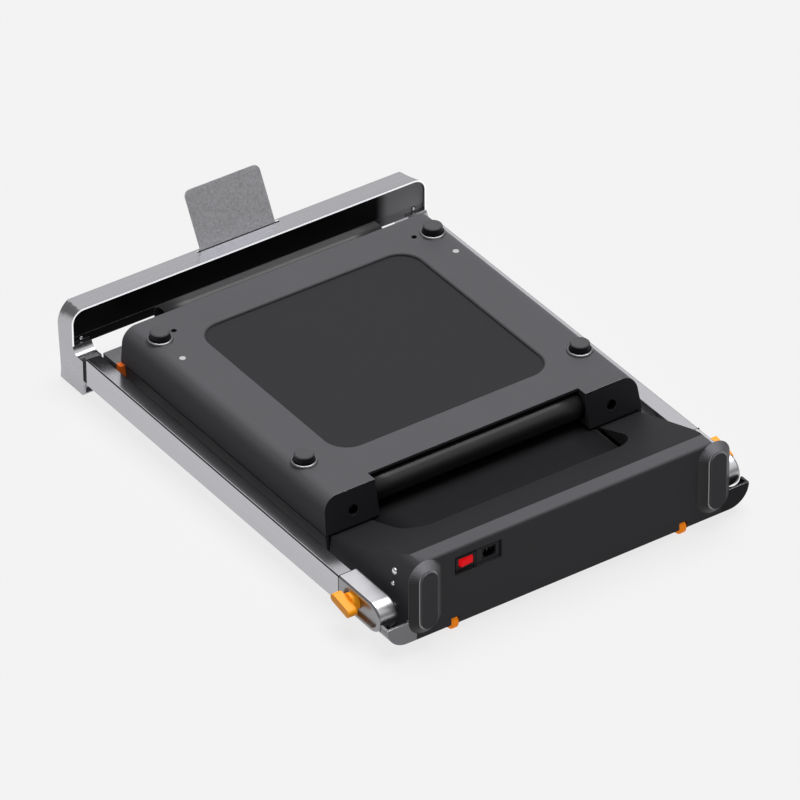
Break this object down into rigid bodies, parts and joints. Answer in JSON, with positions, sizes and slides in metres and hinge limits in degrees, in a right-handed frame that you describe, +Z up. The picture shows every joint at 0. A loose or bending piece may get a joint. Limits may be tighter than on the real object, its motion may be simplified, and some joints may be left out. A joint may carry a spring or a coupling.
{
  "type": "walking pad",
  "caption": "Double-folding walking pad, folded flat: belt deck halves on a hinge, motor housing, and a U-shaped handrail that swings up from the motor end.",
  "frame": {"origin": "middle of the bounding box, on the floor", "axes": "+Z up, +Y from the motor end to the fold end, +X to the right when looking along +Y"},
  "size_m": [0.767, 1.032, 0.2384],
  "materials": {
    "underside_shell": "fine satin texture",
    "sunk_panel": "matte",
    "housing": "fine satin texture",
    "dark_pad": "matte",
    "belt": "fine diamond weave",
    "deck_board": "pressed board, waxed top",
    "frame_steel": "black powder coat",
    "roller": "turned",
    "steel": "ground",
    "hinge_metal": "dark anodised",
    "arm_metal": "brushed anodised",
    "crossbar_metal": "brushed anodised",
    "bright_screw": "polished",
    "gloss_black": "gloss",
    "window": "smoked window",
    "phone_sheet": "bead blasted",
    "orange": "satin",
    "orange_tread": "satin",
    "red": "gloss",
    "pale": "satin",
    "motor": "satin paint",
    "board": "solder mask",
    "prong": "plated"
  },
  "bodies": {
    "base": {"front_pan": "housing", "front_deck": "deck_board", "front_frame": "frame_steel", "front_feet": "dark_pad", "front_belt": "belt", "front_axle": "steel", "front_foot_rails": "housing", "hinge_blocks": "hinge_metal", "hinge_pins": "steel", "latch_caps": "orange", "base_plate": "housing", "base_wings": "underside_shell", "wheel_forks": "housing", "motor_cover": "housing", "stand_pads": "dark_pad", "cover_screws": "bright_screw", "switch_panel": "gloss_black", "switch_body": "gloss_black", "mains_inlet": "gloss_black", "inlet_prongs": "prong", "drive_motor": "motor", "motor_cradle": "frame_steel", "drive_belt": "belt", "control_board": "board", "pivot_brackets": "frame_steel", "pivot_pins": "steel"},
    "rear_half": {"rear_shell": "underside_shell", "rear_sunk_panel": "sunk_panel", "pale_plugs": "pale", "rear_deck": "deck_board", "rear_frame": "frame_steel", "rear_feet": "dark_pad", "rear_belt": "belt", "rear_end_cap_left": "housing", "rear_end_cap_right": "housing", "rear_axle": "steel", "tension_bolts": "steel", "rear_foot_rails": "housing", "rear_hinges": "hinge_metal"},
    "handrail": {"arm_left": "arm_metal", "arm_right": "arm_metal", "pivot_block_left": "arm_metal", "pivot_block_right": "arm_metal", "seam_spacers": "housing", "crossbar_band": "crossbar_metal", "crossbar_panel": "gloss_black", "console_cover": "gloss_black", "display_window": "window", "crossbar_screws": "bright_screw"},
    "fold_leaf": {"fold_leaves": "steel", "fold_belt": "belt"},
    "phone_plate": {"phone_plate": "phone_sheet"},
    "lock_knob_left": {"lock_knob_left": "orange"},
    "lock_knob_right": {"lock_knob_right": "orange"},
    "rocker": {"rocker": "red"},
    "wheel_left": {"wheel_left": "orange_tread"},
    "wheel_right": {"wheel_right": "orange_tread"},
    "front_roller": {"front_roller": "roller"},
    "rear_roller": {"rear_roller": "roller"},
    "motor_rotor": {"motor_rotor": "steel"}
  },
  "joints": [
    {"name": "handle_raise", "type": "hinge", "parent": "base", "child": "handrail", "pos_m": [0, -0.452, 0.054], "axis": [1, 0, 0], "range_deg": [0, 70]},
    {"name": "fold_first", "type": "hinge", "parent": "base", "child": "fold_leaf", "pos_m": [0, 0.366, 0.081], "axis": [-1, 0, 0], "range_deg": [0, 105]},
    {"name": "rear_fold", "type": "hinge", "parent": "fold_leaf", "child": "rear_half", "pos_m": [0, 0.366, 0.081], "axis": [-1, 0, 0], "range_deg": [0, 75], "deforming": ["fold_belt"]},
    {"name": "phone_slide", "type": "slide", "parent": "handrail", "child": "phone_plate", "axis": [0, 0.4695, 0.8829], "range_m": [-0.028, 0]},
    {"name": "knob_turn_left", "type": "hinge", "parent": "handrail", "child": "lock_knob_left", "pos_m": [-0.36, -0.401, 0.054], "axis": [1, 0, 0], "range_deg": [0, 90]},
    {"name": "knob_turn_right", "type": "hinge", "parent": "handrail", "child": "lock_knob_right", "pos_m": [0.36, -0.401, 0.054], "axis": [1, 0, 0], "range_deg": [0, 90]},
    {"name": "rocker_tilt", "type": "hinge", "parent": "base", "child": "rocker", "pos_m": [-0.2045, -0.492, 0.1275], "axis": [0, 0, 1], "range_deg": [-12, 0]},
    {"name": "wheel_spin_left", "type": "hinge", "parent": "base", "child": "wheel_left", "pos_m": [-0.227, -0.49, 0.013], "axis": [1, 0, 0], "continuous": true},
    {"name": "wheel_spin_right", "type": "hinge", "parent": "base", "child": "wheel_right", "pos_m": [0.227, -0.49, 0.013], "axis": [1, 0, 0], "continuous": true},
    {"name": "front_roller_spin", "type": "hinge", "parent": "base", "child": "front_roller", "pos_m": [0, -0.41, 0.0537], "axis": [1, 0, 0], "continuous": true},
    {"name": "rear_roller_spin", "type": "hinge", "parent": "rear_half", "child": "rear_roller", "pos_m": [0, -0.222, 0.1083], "axis": [1, 0, 0], "continuous": true},
    {"name": "motor_spin", "type": "hinge", "parent": "base", "child": "motor_rotor", "pos_m": [0.2, -0.455, 0.115], "axis": [1, 0, 0], "continuous": true}
  ],
  "couplings": [
    {"joint": "fold_first", "follows": "handle_raise", "ratio": 1.5},
    {"joint": "rear_roller_spin", "follows": "front_roller_spin", "ratio": 1},
    {"joint": "motor_spin", "follows": "front_roller_spin", "ratio": 1.6154}
  ]
}
